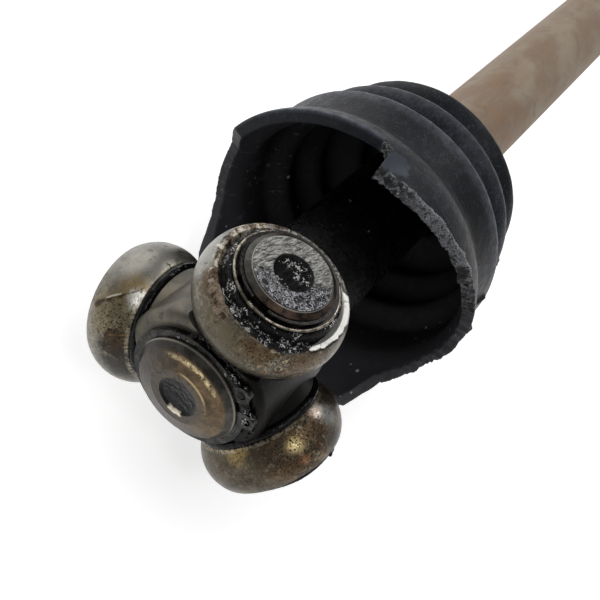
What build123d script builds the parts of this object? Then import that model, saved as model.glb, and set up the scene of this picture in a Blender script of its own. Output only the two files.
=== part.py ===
from build123d import *

import math
import os

# Inner tripod CV joint on its half-shaft, with the tulip housing taken off.
# Lengths are millimetres, angles are degrees.
# The origin is the joint centre, where the three trunnion axes meet the shaft axis.
# +X runs along the shaft towards the wheel, +Z along the first trunnion.

# ---- Clearances ----
running_gap = 0.03  # radial, between needles and the two surfaces they roll on
needle_gap = 0.08  # between neighbouring needles
seat_gap = 0.05  # between pieces that are pushed or clamped together
end_gap = 0.10  # lengthwise, at the needle ends

# ---- Half-shaft ----
bar_radius = 13.5
nose_length = 18.75  # joint centre to the tip of the shaft's nose
nose_land_radius = 7.2  # flat land around the centre drilling
nose_edge_radius = 11.5
nose_cone_depth = 1.2
nose_chamfer = 1.7
centre_drill_radius = 5.0
centre_drill_depth = 2.6
pilot_drill_radius = 1.4
pilot_drill_depth = 3.0
spline_tip_radius = 13.95
spline_root_radius = 13.15
spline_teeth = 26
spline_runout = 4.0
tooth_root_share = 0.7  # of the tooth pitch, across the foot of a tooth
tooth_tip_share = 0.3
bar_end = 296.0  # joint centre to the end of the plain bar

# ---- Outboard end of the half-shaft ----
outer_seat_radius = 12.9  # seat for the wheel-side boot
outer_seat_length = 12.0
outer_taper_length = 8.0
stub_tip_radius = 12.4
stub_root_radius = 11.5
stub_teeth = 24
stub_length = 26.0
stub_chamfer = 2.0
stub_ring_setback = 6.5  # stub end to the middle of the ring groove

# ---- Rings on the shaft ----
circlip_thickness = 1.45
circlip_outer_radius = 14.8
circlip_width = 2.7  # radial, seat to rim
circlip_groove_depth = 1.0  # below the plain band ahead of the ring
circlip_gap_angle = -52.0  # middle of the gap, measured from +Z towards +Y
circlip_gap_width = 2.6
ear_radius = 2.1
ear_hole_radius = 1.1
ear_spread = 13.5  # angle between the gap's middle and each ear
ring_wire_radius = 0.9
ring_seat_depth = 0.9
ring_gap_width = 3.0
rear_ring_gap_angle = 60.0  # from +Z towards +Y

# ---- Spider ----
hub_half_width = 13.9
hub_radius = 18.2
hub_edge_radius = 2.2
boss_radius = 14.4
boss_height = 15.2
boss_edge = 0.6
spot_face_rim = 2.1  # how far the faced-off flat round each trunnion runs past its boss
recess_gap = 0.6  # round the circlip, in the turned recess of the hub's faces
bore_chamfer = 0.8
trunnion_angles = (0.0, -120.0, 120.0)  # turns about +X that carry +Z onto each trunnion
trunnion_radius = 10.28
trunnion_face_radius = 8.8
trunnion_chamfer = 1.15
trunnion_land = 0.2  # between the snap ring's groove and the end chamfer
trunnion_drill_radius = 4.0
trunnion_drill_lip = 0.6
trunnion_drill_depth = 2.2

# ---- Rollers, needles and washers ----
roller_radius = 17.2
roller_crown_radius = 9.4
roller_play = 0.9  # mean gap between the inner washer and its roller
roller_float = (-0.8, 0.4, 0.2)  # how far each roller has slid out along its trunnion
roller_inner_half = 6.4
roller_outer_half = 5.4
roller_edge = 0.45
roller_bore_chamfer = 1.4
needle_radius = 1.25
inner_washer_radius = 13.6
inner_washer_thickness = 0.6
outer_washer_radius = 12.1
outer_washer_thickness = 1.1
outer_washer_height = 29.3
outer_washer_edge = 0.35
snap_ring_thickness = 0.9
snap_ring_depth = 0.75
snap_ring_radius = 11.1
snap_ring_gap = 4.0

# ---- Boot ----
cuff_start = 26.0  # furthest reach of the torn big end towards the nose
cuff_end = 44.5
cuff_radius = 41.8
cuff_wall = 3.6
boot_wall = 2.3
first_valley = 53.5
first_valley_radius = 36.9
first_crest = 64.0
first_crest_radius = 38.0
crest_pitch = 13.0
crest_drop = 3.0
crest_count = 3
valley_depth = 4.4
crest_flat = 3.2
valley_flat = 2.0
fold_radius = 1.6
neck_fold = 102.0
neck_fold_radius = 24.5
neck_valley_radius = 21.5
small_cuff_start = 107.0
small_cuff_length = 9.6
small_cuff_wall = 3.2
boot_groove_depth = 0.5
# The torn edge: angle from +Z towards +Y, and where the wall ends along the shaft.
torn_edge = (
    (5.5, 32.0), (7, 40.5), (10, 42.0), (40, 42.0), (74, 42.0), (86, 47.0), (102, 47.5), (115, 47.5),
    (124, 46.0), (130, 43.5), (136, 39.5), (150, 34.0), (168, 31.5), (186, 31.0), (204, 31.5),
    (218, 33.0), (227, 35.0), (231, 41.0), (236, 45.5), (246, 47.5), (262, 48.5), (276, 47.5),
    (290, 46.0), (304, 43.0), (318, 40.5), (334, 37.5), (346, 35.0), (358, 33.0),
)

# ---- Boot clamp ----
clamp_width = 6.0
clamp_thickness = 0.8
clamp_ear_radius = 3.4
clamp_ear_angle = 200.0  # from +Z towards +Y

# ---- Sizes that follow from the ones above ----
roller_centre = boss_height + inner_washer_thickness + roller_play + roller_inner_half
needle_circle_radius = trunnion_radius + running_gap + needle_radius
track_radius = needle_circle_radius + needle_radius + running_gap
needle_count = int(math.pi / math.asin((needle_radius + needle_gap / 2) / needle_circle_radius))
needle_base = boss_height + inner_washer_thickness + end_gap
needle_length = outer_washer_height - end_gap - needle_base
snap_ring_height = outer_washer_height + outer_washer_thickness + seat_gap
snap_groove_radius = trunnion_radius - snap_ring_depth
snap_groove_top = snap_ring_height + snap_ring_thickness + seat_gap
trunnion_height = snap_groove_top + trunnion_land + trunnion_chamfer
circlip_groove_radius = circlip_outer_radius - circlip_width
pilot_radius = circlip_groove_radius + circlip_groove_depth  # plain band ahead of the front circlip
recess_radius = circlip_outer_radius + recess_gap
circlip_front = -(hub_half_width + seat_gap + circlip_thickness)
pilot_end = circlip_front - seat_gap
nose_edge_x = -(nose_length - nose_cone_depth)
ring_pitch_radius = spline_root_radius - ring_seat_depth + ring_wire_radius
rear_ring_x = hub_half_width + seat_gap + ring_wire_radius
spline_end = rear_ring_x + 2 * ring_wire_radius
boot_seat_radius = bar_radius - boot_groove_depth
small_cuff_end = small_cuff_start + small_cuff_length
small_cuff_radius = boot_seat_radius + seat_gap + small_cuff_wall
outer_seat_end = bar_end + outer_seat_length
stub_start = outer_seat_end + outer_taper_length
stub_end = stub_start + stub_length
stub_ring_x = stub_end - stub_ring_setback
stub_ring_pitch_radius = stub_root_radius - ring_seat_depth + ring_wire_radius
clamp_x = small_cuff_start + small_cuff_length / 2


# ---- Shared shapes ----
def turned(outline, axis):
    """Solid of revolution of a closed outline drawn in the XZ plane."""
    return revolve(Plane.XZ * make_face(outline), axis, 360)


def turned_about_shaft(points):
    return turned(Polyline(*points, close=True), Axis.X)


def ring_about_trunnion(bottom, thickness, inner, outer):
    top = bottom + thickness
    corners = [(inner, bottom), (outer, bottom), (outer, top), (inner, top)]
    return turned(Polyline(*corners, close=True), Axis.Z)


def disc_about_shaft(start, end, radius):
    return Pos(start, 0, 0) * extrude(Plane.YZ * Circle(radius), end - start)


def splined_bar(start, end, root, tip, teeth):
    """Bar along +X whose section is a ring of straight-sided teeth."""
    pitch = 2 * math.pi / teeth
    foot = tooth_root_share / 2
    crest = tooth_tip_share / 2
    tooth = ((root, -foot), (tip, -crest), (tip, crest), (root, foot))
    outline = [
        (radius * math.sin((i + part) * pitch), radius * math.cos((i + part) * pitch))
        for i in range(teeth)
        for radius, part in tooth
    ]
    section = make_face(Plane.YZ * Polyline(*outline, close=True))
    return Pos(start, 0, 0) * extrude(section, end - start, dir=(1, 0, 0))


def gap_cutter(width, length, depth):
    """Block that cuts a ring open on the +Z side of the axis it is turned about."""
    return Pos(0, 0, length / 2) * Box(depth, width, length)


def on_trunnion(index, shape):
    return Rot(trunnion_angles[index], 0, 0) * shape


def around_shaft(angle, shape):
    """Turn a shape from +Z towards +Y about the shaft axis."""
    return Rot(-angle, 0, 0) * shape


# ---- Half-shaft ----
def make_axle_shaft():
    outline = [
        (-nose_length, 0),
        (-nose_length, nose_land_radius),
        (nose_edge_x, nose_edge_radius),
        (nose_edge_x + nose_chamfer, pilot_radius),
        (pilot_end, pilot_radius),
        (pilot_end, circlip_groove_radius),
        (-hub_half_width, circlip_groove_radius),
        (-hub_half_width, spline_root_radius),
        (spline_end, spline_root_radius),
        (spline_end + spline_runout, bar_radius),
        (small_cuff_start, bar_radius),
        (small_cuff_start, boot_seat_radius),
        (small_cuff_end, boot_seat_radius),
        (small_cuff_end, bar_radius),
        (bar_end, bar_radius),
        (bar_end, outer_seat_radius),
        (outer_seat_end, outer_seat_radius),
        (stub_start, stub_root_radius),
        (stub_end - stub_chamfer, stub_root_radius),
        (stub_end, stub_root_radius - stub_chamfer),
        (stub_end, 0),
    ]
    shaft = turned_about_shaft(outline)
    inboard_teeth = (spline_root_radius, spline_tip_radius, spline_teeth)
    outboard_teeth = (stub_root_radius, stub_tip_radius, stub_teeth)
    shaft += splined_bar(-hub_half_width, spline_end, *inboard_teeth)
    shaft += splined_bar(stub_start, stub_end - stub_chamfer, *outboard_teeth)
    shaft -= ring_groove(rear_ring_x, ring_pitch_radius)
    shaft -= ring_groove(stub_ring_x, stub_ring_pitch_radius)
    for end, inwards in ((-nose_length, 1), (stub_end, -1)):
        shaft -= centre_drilling(end, inwards)
    return shaft


def ring_groove(x, pitch_radius):
    """Square groove that takes a round wire ring."""
    half = ring_wire_radius + seat_gap
    floor = pitch_radius - half
    rim = spline_tip_radius + ring_wire_radius
    return disc_about_shaft(x - half, x + half, rim) - disc_about_shaft(x - half, x + half, floor)


def centre_drilling(end, inwards):
    cone = end + inwards * centre_drill_depth
    bottom = cone + inwards * pilot_drill_depth
    outline = [(end, 0), (end, centre_drill_radius), (cone, pilot_drill_radius), (bottom, 0)]
    return turned_about_shaft(outline)


# ---- Rings on the shaft ----
def make_front_circlip():
    body = circlip_plate(circlip_outer_radius) - circlip_plate(circlip_groove_radius + seat_gap)
    ear_circle = circlip_outer_radius + ear_hole_radius / 2
    for side in (-1, 1):
        body += around_shaft(side * ear_spread, Pos(0, 0, ear_circle) * circlip_plate(ear_radius))
    body -= circlip_plate(circlip_groove_radius + seat_gap)
    body -= gap_cutter(circlip_gap_width, circlip_outer_radius + ear_radius * 2, hub_radius * 4)
    for side in (-1, 1):
        body -= around_shaft(side * ear_spread, Pos(0, 0, ear_circle) * circlip_plate(ear_hole_radius))
    return around_shaft(circlip_gap_angle, body)


def circlip_plate(radius):
    return disc_about_shaft(circlip_front, circlip_front + circlip_thickness, radius)


def make_wire_ring(x, pitch_radius, gap_angle):
    section = Plane.XZ * Pos(x, pitch_radius) * Circle(ring_wire_radius)
    ring = revolve(section, Axis.X, 360)
    cutter = Pos(x, 0, 0) * gap_cutter(ring_gap_width, pitch_radius * 2, ring_wire_radius * 4)
    return around_shaft(gap_angle, ring - cutter)


# ---- Spider ----
def make_spider():
    hub = disc_about_shaft(-hub_half_width, hub_half_width, hub_radius)
    hub = fillet(hub.edges().filter_by(GeomType.CIRCLE), hub_edge_radius)
    recess = disc_about_shaft(-boss_radius * 2, -hub_half_width, recess_radius)
    recess += disc_about_shaft(hub_half_width, boss_radius * 2, recess_radius)
    for index in range(len(trunnion_angles)):
        hub += on_trunnion(index, make_boss())
    hub -= recess
    for index in range(len(trunnion_angles)):
        hub -= on_trunnion(index, make_spot_face())
    for index in range(len(trunnion_angles)):
        hub += on_trunnion(index, make_trunnion())
    return hub - spider_bore()


def make_boss():
    outline = [
        (0, 0),
        (boss_radius, 0),
        (boss_radius, boss_height - boss_edge),
        (boss_radius - boss_edge, boss_height),
        (0, boss_height),
    ]
    return turned(Polyline(*outline, close=True), Axis.Z)


def make_spot_face():
    """Everything above a boss, out to where the roller's inner end turns."""
    return ring_about_trunnion(boss_height, trunnion_height, 0, boss_radius + spot_face_rim)


def make_trunnion():
    root = spline_tip_radius + bore_chamfer
    shoulder = trunnion_height - trunnion_chamfer
    groove_bottom = snap_ring_height - seat_gap
    drill_top = trunnion_height - trunnion_drill_lip
    outline = [
        (0, min(root, boss_height)),
        (trunnion_radius, min(root, boss_height)),
        (trunnion_radius, groove_bottom),
        (snap_groove_radius, groove_bottom),
        (snap_groove_radius, snap_groove_top),
        (trunnion_radius, snap_groove_top),
        (trunnion_radius, shoulder),
        (trunnion_face_radius, trunnion_height),
        (trunnion_drill_radius + trunnion_drill_lip, trunnion_height),
        (trunnion_drill_radius, drill_top),
        (pilot_drill_radius, drill_top - trunnion_drill_depth),
        (0, drill_top - trunnion_drill_depth - pilot_drill_radius),
    ]
    return turned(Polyline(*outline, close=True), Axis.Z)


def spider_bore():
    """Splined bore with a lead-in at both faces."""
    root = spline_root_radius + seat_gap
    tip = spline_tip_radius + seat_gap
    bore = splined_bar(-hub_half_width, hub_half_width, root, tip, spline_teeth)
    for side in (-1, 1):
        face = side * hub_half_width
        inside = side * (hub_half_width - bore_chamfer)
        mouth = tip + bore_chamfer / 2
        bore += turned_about_shaft([(face, 0), (face, mouth), (inside, root), (inside, 0)])
    return bore


# ---- Rollers, needles and washers ----
def make_roller(index):
    """Barrel roller: crowned outside, plain needle track inside."""
    centre = roller_centre + roller_float[index]
    bottom = centre - roller_inner_half
    top = centre + roller_outer_half
    crown = roller_radius - roller_crown_radius
    bottom_radius = crown + math.sqrt(roller_crown_radius**2 - roller_inner_half**2)
    top_radius = crown + math.sqrt(roller_crown_radius**2 - roller_outer_half**2)
    mouth_radius = track_radius + roller_bore_chamfer
    inner_mouth = track_radius + roller_edge
    outline = [
        Line((inner_mouth, bottom), (bottom_radius, bottom)),
        ThreePointArc((bottom_radius, bottom), (roller_radius, centre), (top_radius, top)),
        Line((top_radius, top), (mouth_radius, top)),
        Line((mouth_radius, top), (track_radius, top - roller_bore_chamfer)),
        Line((track_radius, top - roller_bore_chamfer), (track_radius, bottom + roller_edge)),
        Line((track_radius, bottom + roller_edge), (inner_mouth, bottom)),
    ]
    face = make_face(outline)
    corners = face.vertices().filter_by(lambda vertex: vertex.X > mouth_radius + roller_edge / 4)
    face = fillet(corners, roller_edge)
    return on_trunnion(index, revolve(Plane.XZ * face, Axis.Z, 360))


def make_needle_set(index):
    needle = extrude(Circle(needle_radius), needle_length)
    spots = PolarLocations(needle_circle_radius, needle_count)
    needles = [Pos(0, 0, needle_base) * spot * needle for spot in spots]
    return on_trunnion(index, Compound(children=needles))


def make_inner_washer(index):
    bore = trunnion_radius + seat_gap
    return on_trunnion(
        index, ring_about_trunnion(boss_height, inner_washer_thickness, bore, inner_washer_radius)
    )


def make_outer_washer(index):
    bore = trunnion_radius + seat_gap
    washer = ring_about_trunnion(outer_washer_height, outer_washer_thickness, bore, outer_washer_radius)
    rims = washer.edges().filter_by(GeomType.CIRCLE).sort_by(SortBy.RADIUS)[-2:]
    return on_trunnion(index, fillet(rims, outer_washer_edge))


def make_snap_ring(index):
    ring = ring_about_trunnion(
        snap_ring_height, snap_ring_thickness, snap_groove_radius + seat_gap, snap_ring_radius
    )
    cutter = Pos(-snap_ring_radius, 0, snap_ring_height) * Box(
        snap_ring_radius * 2, snap_ring_gap, snap_ring_thickness * 4
    )
    return on_trunnion(index, ring - cutter)


# ---- Boot ----
def fold(x, radius, flat):
    return [(x - flat / 2, radius), (x + flat / 2, radius)]


def boot_outline():
    """Outside of the bellows from the big end to the small cuff, as corner points."""
    points = [(cuff_start, cuff_radius), (cuff_end, cuff_radius)]
    points += fold(first_valley, first_valley_radius, crest_flat)
    for i in range(crest_count):
        crest_radius = first_crest_radius - i * crest_drop
        points += fold(first_crest + i * crest_pitch, crest_radius, crest_flat)
        if i < crest_count - 1:
            valley_radius = crest_radius - crest_drop / 2 - valley_depth
            points += fold(first_crest + (i + 0.5) * crest_pitch, valley_radius, valley_flat)
    last_crest = first_crest + (crest_count - 1) * crest_pitch
    points += fold((last_crest + neck_fold) / 2, neck_valley_radius, valley_flat)
    points += fold(neck_fold, neck_fold_radius, valley_flat)
    return points


def make_boot():
    outside = boot_outline()
    inside = [(x, radius - boot_wall) for x, radius in outside[2:]]
    inner_cuff = cuff_radius - cuff_wall
    inside = [(cuff_start, inner_cuff), (cuff_end, inner_cuff)] + inside
    bore = boot_seat_radius + seat_gap
    outside += [(small_cuff_start, small_cuff_radius), (small_cuff_end, small_cuff_radius)]
    cuff_inside = small_cuff_start + seat_gap
    inside += [(cuff_inside, bar_radius + boot_wall / 2), (cuff_inside, bore)]
    inside += [(small_cuff_end - seat_gap, bore)]
    outer_line = FilletPolyline(*outside, radius=fold_radius)
    inner_line = Polyline(*inside)
    face = make_face(
        [
            outer_line,
            Line(outside[-1], inside[-1]),
            inner_line,
            Line(inside[0], outside[0]),
        ]
    )
    return revolve(Plane.XZ * face, Axis.X, 360) - torn_away()


def torn_away():
    """Wedges that fill the big end up to the torn edge."""
    spread = 1.25  # the wedges run out past the boot's outside
    reach = cuff_radius * spread
    start = cuff_start - cuff_wall
    middle = sum(x for _, x in torn_edge) / len(torn_edge)
    rim = [(angle, middle + (x - middle) * spread) for angle, x in torn_edge]
    wedges = []
    for here, there in zip(rim, rim[1:] + rim[:1]):
        flat = [(start, 0, 0)] + [edge_point(start, reach, angle) for angle, _ in (here, there)]
        slope = [(middle, 0, 0)] + [edge_point(x, reach, angle) for angle, x in (here, there)]
        ends = [make_face(Polyline(*outline, close=True)) for outline in (flat, slope)]
        wedges.append(loft(ends, ruled=True))
    return wedges


def edge_point(x, radius, angle):
    turn = math.radians(angle)
    return (x, radius * math.sin(turn), radius * math.cos(turn))


def make_boot_clamp():
    """Thin band with one crimped ear."""
    inner = small_cuff_radius + seat_gap
    outer = inner + clamp_thickness
    start = clamp_x - clamp_width / 2
    end = clamp_x + clamp_width / 2
    ear = extrude(Plane.YZ * Pos(0, outer) * Circle(clamp_ear_radius), clamp_width)
    hollow = extrude(Plane.YZ * Pos(0, outer) * Circle(clamp_ear_radius - clamp_thickness), clamp_width)
    band = disc_about_shaft(start, end, outer) + Pos(start, 0, 0) * ear
    band -= Pos(start, 0, 0) * hollow
    band -= disc_about_shaft(start, end, inner)
    return around_shaft(clamp_ear_angle, band)


# ---- Write one STEP file per piece ----
def make_pieces():
    pieces = {
        "axle_shaft": make_axle_shaft(),
        "spider": make_spider(),
        "front_circlip": make_front_circlip(),
        "rear_stop_ring": make_wire_ring(rear_ring_x, ring_pitch_radius, rear_ring_gap_angle),
        "stub_stop_ring": make_wire_ring(stub_ring_x, stub_ring_pitch_radius, 0.0),
        "boot": make_boot(),
        "boot_clamp": make_boot_clamp(),
    }
    for index in range(len(trunnion_angles)):
        number = index + 1
        pieces[f"roller_{number}"] = make_roller(index)
        pieces[f"needle_set_{number}"] = make_needle_set(index)
        pieces[f"inner_washer_{number}"] = make_inner_washer(index)
        pieces[f"outer_washer_{number}"] = make_outer_washer(index)
        pieces[f"snap_ring_{number}"] = make_snap_ring(index)
    return pieces


os.makedirs("parts", exist_ok=True)
for name, piece in make_pieces().items():
    export_step(piece, f"parts/{name}.step")
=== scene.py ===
import functools
import math
import random

import bpy
import numpy as np
from mathutils import Matrix, Vector, noise


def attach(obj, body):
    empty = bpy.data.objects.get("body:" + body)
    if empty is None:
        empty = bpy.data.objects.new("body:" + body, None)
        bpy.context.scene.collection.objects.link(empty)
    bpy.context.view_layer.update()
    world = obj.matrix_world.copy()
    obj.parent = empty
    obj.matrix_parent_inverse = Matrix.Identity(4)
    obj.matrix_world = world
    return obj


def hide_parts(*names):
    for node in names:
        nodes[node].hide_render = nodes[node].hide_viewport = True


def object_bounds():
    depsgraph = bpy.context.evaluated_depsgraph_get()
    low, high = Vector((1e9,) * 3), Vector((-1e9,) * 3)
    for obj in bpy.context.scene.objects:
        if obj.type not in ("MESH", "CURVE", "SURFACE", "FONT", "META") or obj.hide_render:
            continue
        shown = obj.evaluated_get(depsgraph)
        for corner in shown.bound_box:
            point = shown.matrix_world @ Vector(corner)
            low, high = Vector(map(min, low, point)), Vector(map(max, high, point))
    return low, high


MM = 0.001
random.seed(11)

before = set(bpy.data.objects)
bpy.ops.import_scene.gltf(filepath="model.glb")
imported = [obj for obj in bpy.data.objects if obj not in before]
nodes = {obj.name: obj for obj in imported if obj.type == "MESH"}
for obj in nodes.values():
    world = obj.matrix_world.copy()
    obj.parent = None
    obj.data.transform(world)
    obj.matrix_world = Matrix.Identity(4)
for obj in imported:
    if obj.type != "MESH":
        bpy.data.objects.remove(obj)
cad_box = [list(corner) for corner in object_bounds()]

# ---- Sizes in millimetres, the same as the solids' ----
SINE = math.sqrt(0.75)
TRUNNIONS = [Vector((0, 0, 1)), Vector((0, SINE, -0.5)), Vector((0, -SINE, -0.5))]
ROLLER_CENTRES = [22.3, 23.5, 23.3]
ROLLER_INNER_HALF = 6.4
ROLLER_OUTER_HALF = 5.4
ROLLER_MOUTH = 14.24
BOSS_TOP = 15.2
TRUNNION_TOP = 32.75
CROWN_CENTRE = 7.8
CROWN_RADIUS = 9.4
FACE_RADIUS = 9.13
# Grease in each roller's mouth: (degrees round it, how far out it reaches, how thick it lies there).
MOUTH_GREASE = [
    [(0, 13.5, 0.4), (30, 13.6, 0.4), (60, 13.3, 0.4), (90, 13.1, 0.4), (120, 13.12, 0.4),
     (143, 13.5, 0.4), (160, 14.5, 0.5), (180, 14.9, 0.5), (196, 15.4, 0.55), (208, 15.9, 0.6),
     (224, 15.8, 0.6), (236, 15.1, 0.5), (246, 13.7, 0.4), (258, 13.1, 0.3), (322, 13.1, 0.3),
     (340, 13.4, 0.4)],
    [(0, 14.2, 0.5), (160, 14.3, 0.5), (190, 14.7, 0.7), (250, 14.7, 0.7), (290, 14.2, 0.5)],
    [(60, 14.2, 0.5), (84, 15.0, 1.1), (125, 15.2, 1.25), (160, 14.9, 0.9), (190, 14.2, 0.5)],
]
WASHER_TOP = 30.4
CIRCLIP_GAP = -52.0
CUFF_RADIUS = 41.8
CUFF_WALL = 3.6
BOOT_WALL = 2.3
BOOT_OUTSIDE = [
    (26, 41.8), (44.5, 41.8), (51.9, 36.9), (55.1, 36.9), (62.4, 38), (65.6, 38), (69.5, 32.1),
    (71.5, 32.1), (75.4, 35), (78.6, 35), (82.5, 29.1), (84.5, 29.1), (88.4, 32), (91.6, 32),
    (95, 21.5), (97, 21.5), (101, 24.5), (103, 24.5), (107, 16.25), (116.6, 16.25),
]
TORN_EDGE = [
    (5.5, 32.0), (7, 40.5), (10, 42.0), (40, 42.0), (74, 42.0), (86, 47.0), (102, 47.5), (115, 47.5),
    (124, 46.0), (130, 43.5), (136, 39.5), (150, 34.0), (168, 31.5), (186, 31.0), (204, 31.5),
    (218, 33.0), (227, 35.0), (231, 41.0), (236, 45.5), (246, 47.5), (262, 48.5), (276, 47.5),
    (290, 46.0), (304, 43.0), (318, 40.5), (334, 37.5), (346, 35.0), (358, 33.0),
]
PARTING_ANGLE = 290.0
NOSE_TIP = -18.75
DRILLING_RADIUS = 5.0

# Where the first roller's rim is rubbed bare and carries a painted highlight, and where it is chipped:
# (degrees, radius, half width).
BARE_RIM_HIGHLIGHT = [
    (243, 14.5, 0.6), (256, 14.4, 0.8), (268, 14.3, 0.9), (280, 14.2, 1.1), (292, 14.3, 1.35),
    (303, 14.3, 1.45), (313, 14.1, 1.2), (323, 13.5, 0.4),
]
CHIPPED_RIM = [
    (36, 15.6, 0.3), (56, 15.3, 0.6), (74, 14.6, 1.0), (92, 14.1, 1.1), (108, 14.1, 1.0),
    (122, 14.3, 0.8), (140, 14.9, 1.0), (156, 15.8, 1.2), (168, 16.6, 0.8),
]
BARE_LEVEL = 27.2  # height of that rim along the trunnion

# Each kind of mark: its tone and how strongly it covers. Most are stains; "painted_reflection", "white"
# and "bright" are painted light.
STAINS_AND_PAINTED_LIGHT = {
    "silver": ((164, 163, 158), 0.7),
    "painted_reflection": ((136, 134, 128), 0.7),
    "olive": ((118, 108, 82), 0.6),
    "gold": ((150, 128, 84), 0.7),
    "bright": ((238, 224, 176), 1.0),
    "pink": ((206, 186, 172), 0.8),
    "khaki": ((82, 76, 60), 0.65),
    "bronze": ((62, 50, 38), 0.95),
    "umber": ((70, 60, 48), 0.6),
    "brown": ((84, 66, 46), 0.8),
    "rust": ((66, 42, 30), 0.9),
    "copper": ((164, 116, 82), 0.9),
    "dark": ((40, 38, 36), 0.85),
    "white": ((236, 234, 226), 0.95),
}

# The stains of each roller, and its painted light: (kind, point, inner, outer).
ROLLER_STAINS_AND_LIGHT = [
    [
        ("silver", (-6, 15, 25.5), 3.0, 8.0), ("brown", (-11.5, 10.0, 27.2), 1.6, 3.6),
        ("khaki", (-16.2, 3.5, 23.0), 4.0, 8.0), ("khaki", (-16.5, -2.0, 21.0), 4.0, 9.0),
        ("brown", (-14.0, -5.0, 25.6), 2.0, 5.0), ("brown", (-8.0, -13.5, 25.2), 2.0, 5.5),
    ],
    [
        # "painted_reflection" is a painted reflection of the light on this roller's top, and "white" a
        # painted highlight.
        ("painted_reflection", (2.0, 27, 6), 9.0, 17.0), ("gold", (-8.6, 23.6, 2.0), 2.0, 5.0),
        ("white", (-9.6, 21.8, 1.5), 1.2, 3.2), ("olive", (-13.2, 23.5, -2.6), 3.5, 7.0),
        ("bronze", (-15.3, 19.3, -5.9), 2.3, 2.8), ("bronze", (-15.9, 17.9, -8.2), 2.2, 2.7),
        ("dark", (-17.0, 20.5, -9.0), 0.6, 2.6), ("rust", (-13.4, 27.6, -4.2), 0.3, 1.3),
        ("rust", (-12.4, 26.1, -1.3), 0.2, 1.1), ("rust", (-11.0, 24.8, 0.5), 0.1, 0.9),
        ("dark", (-15.5, 14.0, -12.0), 3.0, 8.0), ("brown", (3.0, 20.0, 8.0), 1.0, 4.5),
    ],
    [
        # "bright" is a painted highlight.
        ("bright", (-7.8, -25.6, 2.5), 0.4, 2.5), ("gold", (-7.8, -25.2, 2.6), 1.0, 3.6),
        ("gold", (-14.4, -17.4, -5.4), 1.0, 4.0), ("brown", (-3.2, -25.5, 3.6), 1.5, 4.0),
        ("brown", (-7.6, -20.5, 2.2), 0.8, 3.2), ("copper", (-7.7, -28.9, 1.0), 0.3, 2.0),
        ("pink", (1.4, -23.2, 4.8), 0.8, 3.2), ("silver", (3.6, -25.6, 4.0), 1.2, 4.0),
        ("umber", (-11.5, -22.5, -1.0), 2.5, 5.5), ("brown", (-10.0, -28.5, -1.0), 1.5, 4.5),
        ("dark", (-14.0, -13.5, -5.5), 1.5, 4.0), ("dark", (2.5, -30.5, -0.5), 1.5, 5.0),
    ],
]
# Fine lines on each roller: (from, to, width, strength, tone).
SCRATCHES = [
    [
        ((-11.6, 11.2, 27.0), (-14.2, 7.0, 27.0), 0.30, 0.9, (52, 32, 24)),
        ((-12.6, 10.4, 26.6), (-14.9, 5.6, 26.4), 0.20, 0.8, (60, 38, 28)),
        ((-13.8, 8.9, 26.1), (-15.5, 3.4, 26.0), 0.25, 0.7, (70, 46, 34)),
        ((-14.4, 5.2, 26.9), (-15.2, 0.6, 26.6), 0.35, 0.6, (96, 70, 52)),
    ],
    [
        ((-13.6, 28.0, -4.8), (-12.9, 27.1, -2.9), 0.55, 0.9, (52, 38, 28)),
        ((-12.9, 27.1, -2.9), (-12.1, 26.0, -1.0), 0.35, 0.9, (60, 44, 32)),
        ((-12.1, 26.0, -1.0), (-10.4, 24.4, 1.0), 0.25, 0.8, (70, 54, 40)),
        ((-10.4, 24.4, 1.0), (-7.9, 22.7, 2.7), 0.20, 0.7, (78, 62, 46)),
        ((-12.4, 26.9, -1.6), (-10.7, 25.1, 0.8), 0.20, 0.8, (214, 206, 186)),
        ((-15.9, 20.8, -5.9), (-14.1, 17.9, -3.9), 0.16, 0.55, (152, 122, 84)),
        ((-16.1, 20.3, -6.7), (-14.3, 17.3, -4.7), 0.16, 0.55, (150, 120, 82)),
        ((-16.3, 19.9, -7.5), (-14.5, 16.8, -5.6), 0.16, 0.55, (146, 116, 80)),
        ((-16.6, 19.5, -8.4), (-14.7, 16.3, -6.5), 0.16, 0.50, (140, 112, 78)),
        ((-16.7, 19.0, -9.4), (-14.8, 15.9, -7.4), 0.16, 0.45, (132, 106, 76)),
        ((-16.3, 21.6, -6.3), (-17.0, 19.8, -9.9), 0.35, 0.8, (40, 34, 28)),
    ],
    [
        ((-3.2, -26.6, 3.2), (-1.4, -24.6, 4.4), 0.5, 0.7, (44, 32, 24)),
        ((-9.8, -18.6, -0.2), (-6.8, -19.4, 1.8), 0.3, 0.6, (214, 196, 150)),
    ],
]
# The pair of tones that each roller's bare steel drifts between. Besides the steel's own patina they
# hold painted light and shade, set roller by roller to how light falls on each.
GROUND_AND_LIGHT_TONES = [
    ((66, 62, 53), (104, 99, 87)),
    ((92, 87, 76), (130, 125, 114)),
    ((58, 51, 42), (92, 83, 68)),
]
# The blotched side of each roller: (point, inner, outer).
WORN_SIDES = [
    ((-10.5, -9.5, 26.0), 7.0, 14.0),
    ((-13.0, 21.0, -3.0), 3.0, 9.0),
    ((-6.5, -25.5, 1.5), 5.0, 12.0),
]

# Painted glints on the bellows' inner wall, where specks of grease catch the light.
GLINT_SPOTS = [
    (66.8, -24.6, -21.0), (65.8, -28.2, -18.3), (66.9, -25.9, -19.4), (60.0, 31.5, -12.0),
    (49.0, 30.0, -22.0), (70.0, 27.0, -13.0), (46.0, -27.0, -26.0), (55.0, -34.2, -8.0),
    (53.0, -33.4, -12.0), (44.0, -36.0, -12.0),
]

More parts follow.
